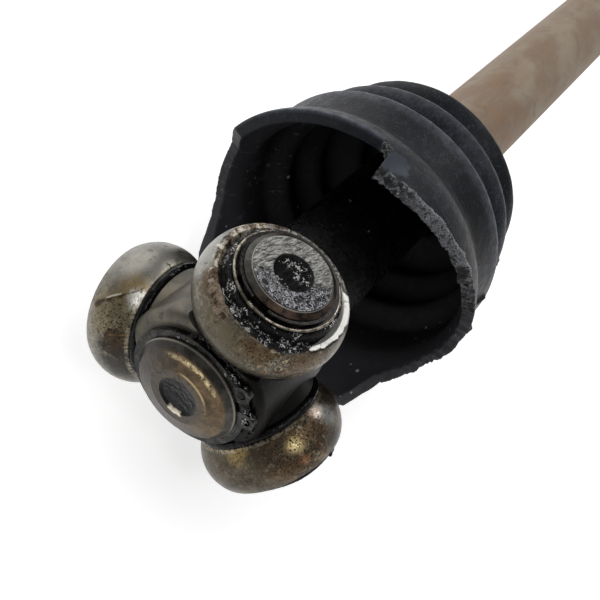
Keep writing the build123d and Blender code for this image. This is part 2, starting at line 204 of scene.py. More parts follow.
# Steels inside each roller: (node, material, dark tone, light tone, roughness, oil).
BEARING_STEELS = [
    ("needle_set", "needles", (70, 68, 66), (150, 148, 144), 0.24, 0.3),
    ("inner_washer", "inner_washer", (40, 38, 36), (84, 80, 76), 0.34, 0.8),
    ("outer_washer", "outer_washer", (24, 23, 22), (52, 49, 45), 0.30, 0.9),
    ("snap_ring", "snap_ring", (22, 21, 20), (48, 45, 42), 0.30, 0.9),
]
WASHER_RUBBED_HIGHLIGHT = 11.85  # radius at which the outer washers are rubbed bright and carry a painted highlight
# Steels of the other small pieces, in the same order.
RING_STEELS = [
    ("front_circlip", "circlip", (32, 32, 31), (64, 63, 60), 0.30, 0.7),
    ("rear_stop_ring", "rear_ring", (34, 33, 32), (74, 72, 70), 0.34, 0.7),
    ("stub_stop_ring", "stub_ring", (74, 72, 70), (132, 130, 126), 0.32, 0.1),
    ("boot_clamp", "clamp", (118, 116, 112), (168, 166, 162), 0.30, 0.1),
]
# Beads of grease on the shaft: (degrees, place along it). On roller 3: (degrees, radius, height, size).
BEADS_AT_NOSE = 46
SHAFT_BEADS = [(12.7, 41.9), (28, 52), (5, 34), (350, 47)]
SHAFT_BEAD_PLACE = 13.6
SHAFT_BEAD_SIZE = 0.55
RIM_BEADS = [(82, 14.5, 29.0, 0.9), (87, 14.7, 29.2, 0.7)]

# Lamps: (name, direction, distance, size, power), in metres and watts.
LAMPS = [
    ("window", (0.35, 0.80, 0.48), 1.9, 2.0, 16),
    ("ceiling_back", (0.72, -0.02, 0.70), 1.8, 0.5, 3.5),
    ("ceiling_front", (-0.36, -0.33, 0.87), 1.8, 0.4, 3.5),
    ("ceiling", (0.10, -0.30, 0.95), 2.2, 1.6, 8),
]
WORLD_STRENGTH = 0.34
FLOOR_TONE = 0.80
FLOOR_GLOW = 0.60
FLOOR_REACH = 4.0
FLOOR_SIDES = 64
WALL_HEIGHT = 0.8
CAMERA_PLACE = (-0.11736, -0.01267, 0.15547)
CAMERA_BACK = (-0.67731, -0.0472, 0.73418)
CAMERA_UP = (0.50183, 0.7001, 0.50796)
CAMERA_LENS = 51.43


# ---- Materials ----
def tone(red, green, blue):
    """A colour as it is named on a screen, 0 to 255, in the linear values that nodes take."""
    named = (red, green, blue)
    return tuple(((c / 255 + 0.055) / 1.055) ** 2.4 if c > 10 else c / 3294.6 for c in named) + (1.0,)


class Graph:
    """One material's nodes. Each call adds a node and gives back its output socket."""

    def __init__(self, name):
        self.material = bpy.data.materials.new(name)
        self.material.use_nodes = True
        self.nodes = self.material.node_tree.nodes
        self.links = self.material.node_tree.links
        self.nodes.clear()
        place = self.nodes.new("ShaderNodeTexCoord").outputs["Object"]
        self.mm = self.vector("MULTIPLY", place, (1000, 1000, 1000))

    def node(self, kind, inputs, **settings):
        made = self.nodes.new("ShaderNode" + kind)
        for key, value in settings.items():
            setattr(made, key, value)
        for key, value in inputs.items():
            socket = made.inputs[key]
            if isinstance(value, bpy.types.NodeSocket):
                self.links.new(value, socket)
            else:
                socket.default_value = value
        return made

    def math(self, operation, a, b=0.0):
        return self.node("Math", {0: a, 1: b}, operation=operation).outputs[0]

    def add(self, a, b):
        return self.math("ADD", a, b)

    def times(self, a, b):
        return self.math("MULTIPLY", a, b)

    def most(self, a, b):
        return self.math("MAXIMUM", a, b)

    def most_of(self, masks):
        return functools.reduce(self.most, masks)

    def inverse(self, a):
        return self.math("SUBTRACT", 1.0, a)

    def vector(self, operation, a, b=(0, 0, 0)):
        return self.node("VectorMath", {0: a, 1: b}, operation=operation).outputs["Vector"]

    def scaled(self, a, factor):
        inputs = {0: a, "Scale": factor}
        return self.node("VectorMath", inputs, operation="SCALE").outputs["Vector"]

    def dot(self, a, b):
        return self.node("VectorMath", {0: a, 1: b}, operation="DOT_PRODUCT").outputs["Value"]

    def along(self, *direction):
        return self.dot(self.mm, direction)

    def length(self, a):
        return self.node("VectorMath", {0: a}, operation="LENGTH").outputs["Value"]

    def distance(self, point):
        return self.node("VectorMath", {0: self.mm, 1: point}, operation="DISTANCE").outputs["Value"]

    def noise(self, size, detail=3.0, roughness=0.55, place=None, warp=0.0):
        """Cloudy noise, about 0.5 on average, whose blobs are size millimetres across."""
        inputs = {"Vector": place or self.mm, "Scale": 1 / size, "Detail": detail}
        inputs.update({"Roughness": roughness, "Distortion": warp})
        return self.node("TexNoise", inputs).outputs[0]

    def cells(self, size, place=None, feature="F1"):
        inputs = {"Vector": place or self.mm, "Scale": 1 / size}
        return self.node("TexVoronoi", inputs, feature=feature).outputs["Distance"]

    def rise(self, value, low, high, start=0.0, end=1.0):
        """Smooth step from start to end as value goes from low to high."""
        inputs = {"Value": value, "From Min": low, "From Max": high, "To Min": start, "To Max": end}
        return self.node("MapRange", inputs, interpolation_type="SMOOTHSTEP").outputs[0]

    def spread(self, value, start, end, low=0.3, high=0.7):
        """Start to end as a noise goes through most of its range."""
        inputs = {"Value": value, "From Min": low, "From Max": high, "To Min": start, "To Max": end}
        return self.node("MapRange", inputs).outputs[0]

    def colours(self, factor, a, b):
        return self.node("Mix", {0: factor, 6: a, 7: b}, data_type="RGBA").outputs[2]

    def drift(self, value, low, high, first, second):
        """Goes from one tone to another as value goes from low to high."""
        return self.colours(self.rise(value, low, high), tone(*first), tone(*second))

    def coat(self, colour, mask, strength, over):
        """Lays a tone over a colour where the mask is."""
        return self.colours(self.times(mask, strength), colour, tone(*over))

    def values(self, factor, a, b):
        return self.node("Mix", {0: factor, 2: a, 3: b}, data_type="FLOAT").outputs[0]

    def near(self, point, inner, outer, ragged=None):
        """1 within inner millimetres of a point, fading to 0 at outer."""
        distance = self.distance(point)
        if ragged is not None:
            distance = self.add(distance, ragged)
        return self.rise(distance, outer, inner)

    def line(self, a, b, inner, outer, ragged=None):
        """1 within inner millimetres of the segment from a to b, fading to 0 at outer."""
        start = Vector(a)
        run = Vector(b) - start
        from_start = self.vector("SUBTRACT", self.mm, tuple(start))
        share = self.dot(from_start, tuple(run / run.length_squared))
        share = self.node("Clamp", {"Value": share}).outputs[0]
        distance = self.length(self.vector("SUBTRACT", from_start, self.scaled(tuple(run), share)))
        if ragged is not None:
            distance = self.add(distance, ragged)
        return self.rise(distance, outer, inner)

    def rim_band(self, stops, fade, ragged):
        """Band along the first roller's rim. stops are (degrees, radius, half width)."""
        band = []
        spots = [(math.radians(d), r, w) for d, r, w in stops]
        spots = [((r * math.cos(t), r * math.sin(t), BARE_LEVEL), w) for t, r, w in spots]
        for (a, wide), (b, after) in zip(spots, spots[1:]):
            half = (wide + after) / 2
            band.append(self.line(a, b, half, half + fade, ragged))
        return self.most_of(band)

    def threads(self, value, wide):
        """Thin winding lines where a noise passes its middle value."""
        return self.rise(self.math("ABSOLUTE", self.math("SUBTRACT", value, 0.5)), wide, wide * 0.4)

    def attribute(self, name):
        return self.node("Attribute", {}, attribute_name=name).outputs["Fac"]

    def bump(self, height, distance_mm, strength=1.0, normal=None):
        inputs = {"Height": height, "Distance": distance_mm * MM, "Strength": strength}
        if normal is not None:
            inputs["Normal"] = normal
        return self.node("Bump", inputs).outputs[0]

    def surface(self, shader):
        self.node("OutputMaterial", {"Surface": shader})
        return self.material

    def finish(self, colour, roughness, normal, **more):
        inputs = {"Base Color": colour, "Roughness": roughness, "Normal": normal}
        inputs.update((key.replace("_", " "), value) for key, value in more.items())
        return self.surface(self.node("BsdfPrincipled", inputs).outputs[0])


def around(g, axis):
    """Height along an axis, radius from it, and a place that is stretched round it."""
    height = g.dot(g.mm, tuple(axis))
    radius = g.length(g.vector("SUBTRACT", g.mm, g.scaled(tuple(axis), height)))
    rings = g.node("CombineXYZ", {0: radius, 1: height, 2: 0.0}).outputs[0]
    return height, radius, rings


def make_rubber():
    """Outside of the bellows: dull blue-black rubber with dusty specks, and painted highlights along
    the crests and along the worn rim edge.
    """
    g = Graph("boot_rubber")
    edge = g.attribute("edge")
    x = g.along(1, 0, 0)
    streaks = g.noise(0.7, 3, 0.6, g.vector("MULTIPLY", g.mm, (0.10, 1.0, 1.0)))
    clouds = g.noise(12, 4, 0.6)
    mottle = g.noise(2.2, 4, 0.68)
    fine = g.noise(0.55, 3, 0.6)
    dust = g.rise(g.noise(0.75, 4, 0.75), 0.59, 0.68)
    colour = g.drift(clouds, 0.36, 0.66, (11, 13, 18), (20, 23, 30))
    colour = g.coat(colour, g.rise(mottle, 0.52, 0.66), 0.6, (38, 42, 52))
    colour = g.coat(colour, dust, 0.42, (98, 104, 118))
    flank = g.times(g.rise(x, 66.5, 69.0), g.rise(x, 77.0, 74.5))
    flank = g.times(flank, g.rise(g.along(0, 0, 1), 12.0, 30.0))
    flank = g.times(flank, g.rise(streaks, 0.40, 0.70))
    colour = g.coat(colour, flank, 0.28, (70, 76, 88))
    # Painted highlight: the crests are painted paler where light catches them, and so is the rim's edge
    # line, which is also worn.
    crest = g.times(edge, g.rise(mottle, 0.30, 0.62, 0.35, 1.0))
    colour = g.coat(colour, crest, 0.8, (98, 103, 114))
    # Darker on the cuff's side towards -Y, short of the second crest.
    darkening = g.times(g.rise(g.along(0.0, -1.0, 0.2), 16.0, 30.0), g.rise(x, 64.0, 52.0))
    colour = g.coat(colour, darkening, 0.85, (10, 11, 14))
    patch = g.near((37, 2.3, 41.8), 3.4, 4.4, g.spread(g.noise(1.6, 2), -0.8, 0.8))
    colour = g.coat(colour, patch, 0.75, (54, 60, 70))
    roughness = g.spread(mottle, 0.52, 0.34)
    roughness = g.values(patch, roughness, 0.34)
    relief = g.times(g.add(g.times(fine, 0.45), g.times(mottle, 0.55)), g.inverse(patch))
    normal = g.bump(relief, 0.26, 0.65)
    normal = g.bump(g.times(streaks, flank), 0.08, 0.4, normal)
    return g.finish(colour, roughness, normal, IOR=1.30, Specular_IOR_Level=0.4)


def make_rubber_inside():
    """Inside of the bellows: black with grease, with painted shade that deepens away from the mouth, a
    few smears near the mouth, and painted glints.
    """
    g = Graph("boot_inside")
    x = g.along(1, 0, 0)
    clouds = g.noise(9, 4, 0.6)
    mottle = g.noise(2.2, 4, 0.68)
    # Painted shade: the wall darkens from the mouth inwards.
    colour = g.drift(x, 40, 70, (56, 56, 60), (30, 30, 33))
    colour = g.coat(colour, g.rise(mottle, 0.52, 0.70), 0.3, (66, 67, 72))
    smears = g.rise(g.noise(2.2, 4, 0.7, g.vector("MULTIPLY", g.mm, (0.3, 1, 1)), 0.6), 0.58, 0.66)
    smears = g.times(smears, g.near((58, 33, -6), 8, 24))
    colour = g.coat(colour, smears, 0.6, (124, 126, 132))
    # Painted glints: bright specks at random and at the listed spots.
    specks = g.times(g.rise(g.cells(4.5), 0.10, 0.05), g.rise(clouds, 0.50, 0.58))
    for point in GLINT_SPOTS:
        specks = g.most(specks, g.near(point, 0.35, 0.75))
    colour = g.coat(colour, specks, 0.8, (196, 198, 202))
    roughness = g.spread(clouds, 0.52, 0.66)
    normal = g.bump(g.add(g.times(mottle, 0.6), g.times(clouds, 0.4)), 0.35, 0.5)
    return g.finish(colour, roughness, normal, IOR=1.30)


def make_torn_rubber():
    """Torn edge of the bellows: black, with wet rubble along its upper right, its glitter painted into
    the colour.
    """
    g = Graph("boot_torn_edge")
    rubble = g.noise(1.1, 4, 0.7)
    chunks = g.noise(3.0, 4, 0.7)
    grains = g.noise(0.6, 3, 0.7)
    turn = g.math("ARCTAN2", g.along(0, 1, 0), g.along(0, 0, 1))
    turn = g.add(turn, g.spread(chunks, -0.22, 0.22))
    wet = g.times(g.rise(turn, -0.95, -0.55), g.rise(turn, 0.45, 0.25))
    colour = g.drift(rubble, 0.42, 0.66, (14, 14, 16), (30, 31, 35))
    # Painted glitter: pale sparkle over the wet rubble, strongest along the upper-right stretch.
    bright_stretch = g.times(g.rise(turn, -0.80, -0.60), g.rise(turn, -0.05, -0.25))
    silver = g.times(wet, g.most(g.times(bright_stretch, 0.9), g.rise(chunks, 0.50, 0.58)))
    rubble_glitter = g.times(silver, g.rise(rubble, 0.44, 0.56, 0.3, 1.0))
    colour = g.colours(rubble_glitter, colour, tone(122, 124, 130))
    # Painted glints: thin bright threads and grains on the wet stretch.
    threads = g.most(g.threads(rubble, 0.026), g.rise(grains, 0.60, 0.65))
    threads = g.times(threads, g.most(silver, g.rise(chunks, 0.44, 0.60, 0.0, 0.35)))
    colour = g.coat(colour, threads, 0.85, (186, 188, 192))
    roughness = g.values(wet, 0.42, 0.16)
    normal = g.bump(rubble, 1.1, 0.9)
    normal = g.bump(g.times(grains, wet), 0.5, 0.8, normal)
    return g.finish(colour, roughness, normal, IOR=1.42)


def make_smooth_grease(name, glints):
    """Fresh-looking black grease with soft folds. glints is how strongly it sparkles."""
    g = Graph(name)
    folds = g.noise(1.8, 3, 0.5, warp=0.6)
    grains = g.noise(0.6, 3, 0.7)
    colour = g.drift(folds, 0.40, 0.66, (6, 6, 7), (15, 15, 16))
    chunks = g.noise(3.2, 4, 0.65)
    # Painted glints: bright specks and threads painted into the colour, scaled by glints.
    specks = g.most(g.rise(grains, 0.60, 0.63), g.threads(g.noise(1.4, 2, 0.5), 0.030))
    specks = g.times(specks, g.rise(chunks, 0.55, 0.60))
    colour = g.colours(g.times(specks, glints), colour, tone(214, 215, 218))
    roughness = g.spread(folds, 0.06, 0.18)
    normal = g.bump(folds, 0.6, 0.5)
    return g.finish(colour, roughness, normal, IOR=1.35, Specular_IOR_Level=0.25)


def make_gritty_grease():
    """Old grease full of grit: black, with bright winding glints in clusters."""
    g = Graph("gritty_grease")
    rubble = g.noise(1.0, 4, 0.65)
    grains = g.noise(0.48, 3, 0.7)
    chunks = g.noise(2.6, 4, 0.65)
    colour = g.drift(rubble, 0.45, 0.70, (6, 6, 7), (22, 22, 24))
    # Painted glints: bright winding threads and grains, in clusters.
    threads = g.most(g.times(g.threads(g.noise(1.5, 3, 0.6), 0.030), 0.9), g.rise(grains, 0.61, 0.64))
    threads = g.times(threads, g.rise(chunks, 0.515, 0.56))
    colour = g.coat(colour, threads, 0.95, (232, 231, 228))
    roughness = g.spread(rubble, 0.08, 0.26)
    normal = g.bump(rubble, 0.9, 0.8)
    normal = g.bump(grains, 0.4, 0.7, normal)
    return g.finish(colour, roughness, normal, IOR=1.35, Specular_IOR_Level=0.25)


def make_roller_steel(index):
    """Ground steel under old varnish."""
    axis = TRUNNIONS[index]
    g = Graph("roller_%d_steel" % (index + 1))
    height, _, rings = around(g, axis)
    level = g.math("SUBTRACT", height, ROLLER_CENTRES[index])
    turned = g.noise(0.30, 2, 0.5, rings)
    clouds = g.noise(6.5, 4, 0.62, warp=0.5)
    blotches = g.noise(2.3, 5, 0.70, warp=0.3)
    pepper = g.noise(0.50, 3, 0.65)
    ragged = g.spread(g.noise(1.6, 5, 0.72), -2.0, 2.0, 0.25, 0.75)
    scuffs = g.noise(1.3, 4, 0.7, g.vector("MULTIPLY", g.mm, (0.35, 0.9, 2.2)), 1.2)
    # Ground tones: the steel's own patina, with painted light and shade set per roller.
    colour = g.drift(clouds, 0.34, 0.66, *GROUND_AND_LIGHT_TONES[index])
    flakes = g.noise(1.0, 6, 0.8, warp=0.5)
    pale, deep = [(0.55, 0.50), (0.35, 0.50), (0.12, 0.20)][index]
    colour = g.coat(colour, g.rise(flakes, 0.50, 0.54), pale, (150, 142, 122))
    colour = g.coat(colour, g.rise(flakes, 0.46, 0.41), deep, (50, 43, 34))
    colour = g.coat(colour, g.rise(scuffs, 0.56, 0.70), 0.28, (176, 170, 156))
    colour = g.coat(colour, g.rise(scuffs, 0.47, 0.34), 0.50, (58, 50, 40))
    colour = g.coat(colour, g.rise(blotches, 0.46, 0.34), 0.45, (70, 64, 52))
    crack_width, crack_depth = (0.020, 0.85) if index == 0 else (0.014, 0.35)
    cracks = g.threads(g.noise(1.7, 5, 0.78, warp=0.9), crack_width)
    cracks = g.times(cracks, g.rise(clouds, 0.44, 0.56, 0.2, 1.0))
    colour = g.coat(colour, cracks, crack_depth, (40, 34, 27))
    point, inner, outer = WORN_SIDES[index]
    side = g.near(point, inner, outer, ragged)
    brown = g.times(side, g.rise(blotches, 0.49, 0.54))
    colour = g.coat(colour, brown, 0.75, (70, 52, 35))
    amber = g.times(side, g.rise(g.noise(1.5, 6, 0.78), 0.55, 0.60))
    colour = g.coat(colour, amber, 0.6, (150, 110, 68))
    cream = g.times(side, g.rise(g.noise(1.4, 6, 0.80, warp=0.4), 0.55, 0.60))
    colour = g.coat(colour, cream, 0.65, (186, 178, 150))
    # Stains, and painted highlights and reflection where the kind is painted light.
    for kind, point, inner, outer in ROLLER_STAINS_AND_LIGHT[index]:
        mark_tone, strength = STAINS_AND_PAINTED_LIGHT[kind]
        mask = g.near(point, inner, outer, g.times(ragged, min(1.0, outer / 5)))
        colour = g.coat(colour, mask, strength, mark_tone)
    specks = g.times(g.rise(pepper, 0.56, 0.60), g.most(side, g.rise(blotches, 0.52, 0.60, 0.0, 0.8)))
    colour = g.colours(specks, colour, tone(28, 24, 20))
    for a, b, wide, strength, named in SCRATCHES[index]:
        scratch = g.line(a, b, wide * 0.5, wide * 1.6)
        scratch = g.times(scratch, g.rise(pepper, 0.30, 0.50, 0.3, 1.0))
        colour = g.coat(colour, scratch, strength, named)
    rim = g.rise(level, ROLLER_OUTER_HALF - 0.6, ROLLER_OUTER_HALF - 0.2)
    along = g.add(g.along(1, 0, 0), g.times(ragged, 1.5))
    rim = g.times(rim, g.rise(along, -6.0, 1.0, 0.25, 1.0))
    end = -ROLLER_INNER_HALF
    faint = g.rise(level, end + 0.9, end + 0.5, 0.0, 0.5)
    inner_rim = g.most(g.rise(level, end + 0.15, end + 0.05), faint)
    inner_rim = g.times(inner_rim, g.rise(scuffs, 0.44, 0.56))
    colour = g.coat(colour, inner_rim, 0.8, (196, 186, 164))
    sparkle = g.drift(pepper, 0.46, 0.58, (40, 38, 36), (150, 147, 140))
    colour = g.colours(g.times(rim, 0.85), colour, sparkle)
    roughness = g.spread(blotches, 0.26, 0.46)
    roughness = g.values(g.most(specks, brown), roughness, 0.50)
    if index == 0:
        chipped = g.rim_band(CHIPPED_RIM, 0.5, g.times(ragged, 0.45))
        chips = g.noise(2.6, 5, 0.72, warp=0.5)
        flecks = g.noise(0.9, 4, 0.7)
        patches = g.drift(chips, 0.45, 0.50, (70, 58, 48), (160, 142, 116))
        patches = g.colours(g.rise(chips, 0.51, 0.55), patches, tone(214, 209, 197))
        patches = g.coat(patches, g.rise(flecks, 0.55, 0.60), 0.7, (58, 46, 38))
        lower = g.rise(g.along(0.0, 1.0, 0.0), 9.0, 13.5)
        upper = g.drift(chips, 0.46, 0.54, (46, 33, 27), (100, 80, 60))
        patches = g.colours(g.times(g.inverse(lower), 0.8), patches, upper)
        colour = g.colours(g.times(chipped, 0.9), colour, patches)
        outline = g.rim_band(BARE_RIM_HIGHLIGHT, 0.35, g.add(g.times(ragged, 0.12), -0.45))
        colour = g.coat(colour, outline, 0.85, (44, 40, 36))
        # Bare rim with a painted highlight: steel without grease, painted near white where it catches
        # the light.
        bare = g.rim_band(BARE_RIM_HIGHLIGHT, 0.25, g.times(ragged, 0.20))
        scraped_highlight = g.coat(tone(240, 239, 234), g.rise(flecks, 0.56, 0.64), 0.7, (150, 136, 118))
        colour = g.colours(bare, colour, scraped_highlight)
        roughness = g.values(g.most(bare, chipped), roughness, 0.50)
    normal = g.bump(turned, 0.010, 0.5)
    pits = g.times(g.noise(0.9, 4, 0.7), g.rise(side, 0.0, 1.0, 0.35, 1.0))
    normal = g.bump(pits, 0.10, 0.6, normal)
    normal = g.bump(g.times(pepper, rim), 0.16, 0.7, normal)
    normal = g.bump(g.inverse(specks), 0.08, 0.7, normal)
    return g.finish(colour, roughness, normal, Metallic=0.85)


def make_hub_steel():
    """Forged spider: sides dark with oil, painted lighter towards the window and darker on the shaded
    side, and trunnion ends with a scratched face and a filled drilling.
    """
    g = Graph("hub_steel")
    clouds = g.noise(7.0, 4, 0.6, warp=0.4)
    mottle = g.noise(2.4, 4, 0.65)
    grain = g.noise(0.5, 3, 0.6)
    # Painted light and shade: lit and shaded tones of the same steel, lighter on the side towards the
    # window.
    lit = g.rise(g.add(g.along(-0.25, 1.0, 0.35), g.spread(clouds, -3.0, 3.0)), 0.0, 9.0)
    dark = g.drift(clouds, 0.36, 0.64, (26, 25, 24), (42, 40, 37))
    light = g.drift(clouds, 0.36, 0.64, (80, 77, 71), (104, 99, 88))
    colour = g.colours(lit, dark, light)
    colour = g.coat(colour, g.rise(mottle, 0.54, 0.70), 0.45, (104, 90, 66))
    colour = g.coat(colour, g.rise(mottle, 0.42, 0.32), 0.6, (30, 28, 26))
    shade = g.rise(g.along(0.25, -1.0, 0.30), 5.0, 12.0)
    colour = g.coat(colour, shade, 0.8, (10, 10, 9))
    specks = g.rise(g.noise(0.6, 3, 0.65), 0.64, 0.69)
    colour = g.coat(colour, specks, 0.8, (16, 15, 14))
    masks = []
    for axis in TRUNNIONS:
        height, radius, _ = around(g, axis)
        near_top = g.rise(height, TRUNNION_TOP - 0.30, TRUNNION_TOP - 0.15)
        masks.append((
            g.rise(height, TRUNNION_TOP - 0.07, TRUNNION_TOP - 0.02),
            g.times(g.rise(radius, 4.7, 4.3), g.rise(height, 29.0, 29.6)),
            g.times(g.rise(height, 26.0, 27.0), g.rise(radius, 11.0, 10.8)),
            g.times(near_top, g.rise(radius, FACE_RADIUS - 0.22, FACE_RADIUS - 0.08)),
        ))
    face, cone, neck, line = (g.most_of(each) for each in zip(*masks))
    rim = g.drift(mottle, 0.42, 0.62, (24, 21, 20), (74, 60, 50))
    # Painted reflection: the chamfer is painted paler on its left side, where it reflects light.
    left = g.rise(g.along(-0.45, 0.89, 0.0), 3.0, 8.0)
    rim = g.colours(left, rim, g.drift(mottle, 0.40, 0.60, (52, 52, 48), (76, 75, 70)))
    colour = g.colours(neck, colour, rim)
    along = g.along(0.94, -0.35, 0.0)
    across = g.along(0.35, 0.94, 0.3)
    place = g.node("CombineXYZ", {0: g.times(along, 0.40), 1: g.times(across, 1.7), 2: 0.0}).outputs[0]
    brushed = g.noise(1.2, 5, 0.75, place, 0.9)
    hair = g.noise(0.75, 4, 0.75, place, 0.8)
    bare = g.drift(brushed, 0.42, 0.58, (70, 70, 68), (150, 149, 145))
    bare = g.coat(bare, g.rise(hair, 0.54, 0.60), 0.7, (190, 189, 185))
    bare = g.coat(bare, g.rise(hair, 0.47, 0.42), 0.8, (38, 38, 38))
    side = g.along(-0.773, -0.634, 0.0)
    side = g.add(side, g.spread(g.noise(2.4, 4, 0.7), -2.2, 2.2))
    wet = g.rise(side, 0.6, 2.6)
    web = g.noise(0.9, 3, 0.6, warp=1.0)
    wet_tone = g.drift(web, 0.44, 0.62, (22, 22, 25), (60, 60, 64))
    # Painted glints: thin bright threads on the wet film.
    wet_tone = g.coat(wet_tone, g.threads(web, 0.034), 0.9, (206, 206, 210))
    bare = g.colours(wet, bare, wet_tone)
    colour = g.colours(face, colour, bare)
    colour = g.coat(colour, line, 0.8, (176, 172, 164))
    colour = g.colours(cone, colour, tone(12, 12, 13))
    wet_all = g.most(g.times(face, wet), cone)
    metallic = g.values(wet_all, 0.80, 0.35)
    face_rough = g.spread(brushed, 0.30, 0.46)
    roughness = g.values(face, g.spread(grain, 0.38, 0.52), face_rough)
    roughness = g.values(wet_all, roughness, 0.16)
    normal = g.bump(grain, 0.05, 0.35)
    normal = g.bump(g.times(g.add(brushed, g.times(hair, 0.5)), face), 0.14, 0.6, normal)
    normal = g.bump(g.times(web, wet_all), 0.55, 0.9, normal)
    return g.finish(colour, roughness, normal, Metallic=metallic, Specular_IOR_Level=0.25)


def make_shaft_steel():
    """Brown bar, black with grease inside the boot, and a polished bronze-coloured nose."""
    g = Graph("shaft_steel")
    x, radius, rings = around(g, (1, 0, 0))
    clouds = g.noise(12, 4, 0.6, g.vector("MULTIPLY", g.mm, (0.5, 1, 1)), 0.4)
    patches = g.noise(4.2, 4, 0.65, warp=0.3)
    grain = g.noise(0.8, 4, 0.65)
    bar = g.drift(clouds, 0.36, 0.64, (132, 112, 93), (152, 138, 120))
    rust = g.times(g.rise(g.noise(8, 4, 0.6, warp=0.4), 0.44, 0.62), g.rise(x, 190, 120, 0.35, 1.0))
    bar = g.coat(bar, rust, 0.5, (140, 106, 70))
    bar = g.coat(bar, g.rise(g.noise(6.5, 5, 0.7, warp=0.8), 0.54, 0.72), 0.35, (88, 78, 70))
    bar = g.coat(bar, g.rise(grain, 0.58, 0.72), 0.35, (160, 150, 136))
    greasy = g.drift(patches, 0.45, 0.72, (7, 7, 8), (20, 20, 21))
    inside = g.times(g.rise(x, 12.5, 13.5), g.rise(x, 113.5, 112.5))
    bar = g.colours(inside, bar, greasy)
    turn = g.math("ARCTAN2", g.along(0, 1, 0), g.along(0, 0, 1))
    turn = g.add(turn, g.spread(patches, -0.35, 0.35))
    warm = g.rise(g.along(0, -0.55, 0.45), -5.0, 4.0)
    nose = g.drift(patches, 0.38, 0.64, (54, 51, 47), (74, 68, 60))
    gold = g.drift(patches, 0.40, 0.66, (74, 61, 45), (106, 87, 62))
    nose = g.colours(g.times(warm, 0.85), nose, gold)
    smudges = g.rise(g.noise(3.0, 5, 0.72, warp=1.6), 0.50, 0.62)
    nose = g.coat(nose, smudges, 0.65, (50, 42, 34))
    # Painted highlights: a bright band on the outer cone and a fainter one on the inner step, on the
    # nose's upper side.
    arc = g.times(g.rise(turn, -0.55, -0.15), g.rise(turn, 0.75, 0.30))
    band = g.times(g.rise(radius, 9.7, 10.4), g.rise(radius, 11.3, 10.8))
    arc = g.times(g.times(arc, band), g.rise(g.noise(1.1, 5, 0.7), 0.38, 0.56))
    nose = g.coat(nose, arc, 0.9, (210, 192, 148))
    inner_arc = g.times(g.rise(turn, -1.1, -0.7), g.rise(turn, 0.5, 0.0))
    inner_band = g.times(g.rise(radius, 7.1, 7.3), g.rise(radius, 7.8, 7.55))
    nose = g.coat(nose, g.times(inner_arc, inner_band), 0.6, (186, 166, 122))
    land = g.rise(radius, 7.3, 6.6)
    worn_land = g.drift(smudges, 0.2, 0.8, (78, 72, 64), (44, 41, 38))
    nose = g.colours(g.times(land, 0.7), nose, worn_land)
    side = g.drift(patches, 0.4, 0.65, (48, 46, 43), (72, 69, 64))
    nose = g.colours(g.rise(radius, 11.4, 11.9), nose, side)
    # Painted highlight: a thin pale line along the nose's outer rim.
    edge = g.times(g.rise(radius, 12.7, 12.95), g.rise(x, -15.2, -15.5))
    nose = g.coat(nose, edge, 0.5, (150, 144, 134))
    drilling = g.rise(radius, DRILLING_RADIUS + 0.1, DRILLING_RADIUS - 0.1)
    nose = g.colours(drilling, nose, tone(20, 20, 20))
    ragged = g.spread(g.noise(1.2, 4, 0.7), -0.4, 0.4)
    glint = g.line((NOSE_TIP, -0.2, -4.9), (NOSE_TIP, -2.4, -4.3), 0.2, 1.1, ragged)
    nose = g.colours(glint, nose, tone(226, 216, 196))
    at_nose = g.rise(x, -12.0, -13.0)
    colour = g.colours(at_nose, bar, nose)
    metallic = g.values(at_nose, g.values(inside, 0.10, 0.0), 0.85)
    greasy_rough = g.spread(patches, 0.20, 0.34)
    bar_rough = g.values(inside, g.spread(clouds, 0.58, 0.74), greasy_rough)
    roughness = g.values(at_nose, bar_rough, g.spread(patches, 0.24, 0.38))
    normal = g.bump(g.add(g.times(grain, 0.5), g.times(patches, 0.5)), 0.20, 0.5)
    turned = g.noise(0.40, 2, 0.5, rings)
    normal = g.bump(g.times(turned, at_nose), 0.05, 0.6, normal)
    normal = g.bump(g.times(grain, inside), 0.5, 0.6, normal)
    return g.finish(colour, roughness, normal, Metallic=metallic)


def make_plain_steel(name, dark, light, roughness, darkening=0.3, edge=None):
    """Small steel pieces, patchy and partly dark with oil. edge is the (axis, radius) of an edge worn
    bright and painted with a highlight.
    """
    g = Graph(name)
    patches = g.noise(1.8, 4, 0.65)
    grain = g.noise(0.4, 3, 0.65)
    colour = g.drift(patches, 0.38, 0.62, dark, light)
    colour = g.coat(colour, g.rise(grain, 0.58, 0.68), 0.5, light)
    oil = g.rise(g.noise(2.2, 4, 0.65), 0.44, 0.58, 0.0, darkening)
    colour = g.colours(oil, colour, tone(14, 14, 14))
    if edge is not None:
        _, radius, _ = around(g, edge[0])
        # Painted highlight along the edge, over steel worn bright there.
        rubbed_highlight = g.rise(g.math("ABSOLUTE", g.math("SUBTRACT", radius, edge[1])), 0.26, 0.14)
        rubbed_highlight = g.times(rubbed_highlight, g.rise(patches, 0.40, 0.56, 0.25, 1.0))
        colour = g.coat(colour, rubbed_highlight, 0.85, (176, 166, 150))
    rough = g.values(oil, g.spread(patches, roughness - 0.06, roughness + 0.08), 0.14)
    normal = g.bump(g.add(g.times(grain, 0.5), g.times(patches, 0.5)), 0.12, 0.6)
    return g.finish(colour, rough, normal, Metallic=0.88)


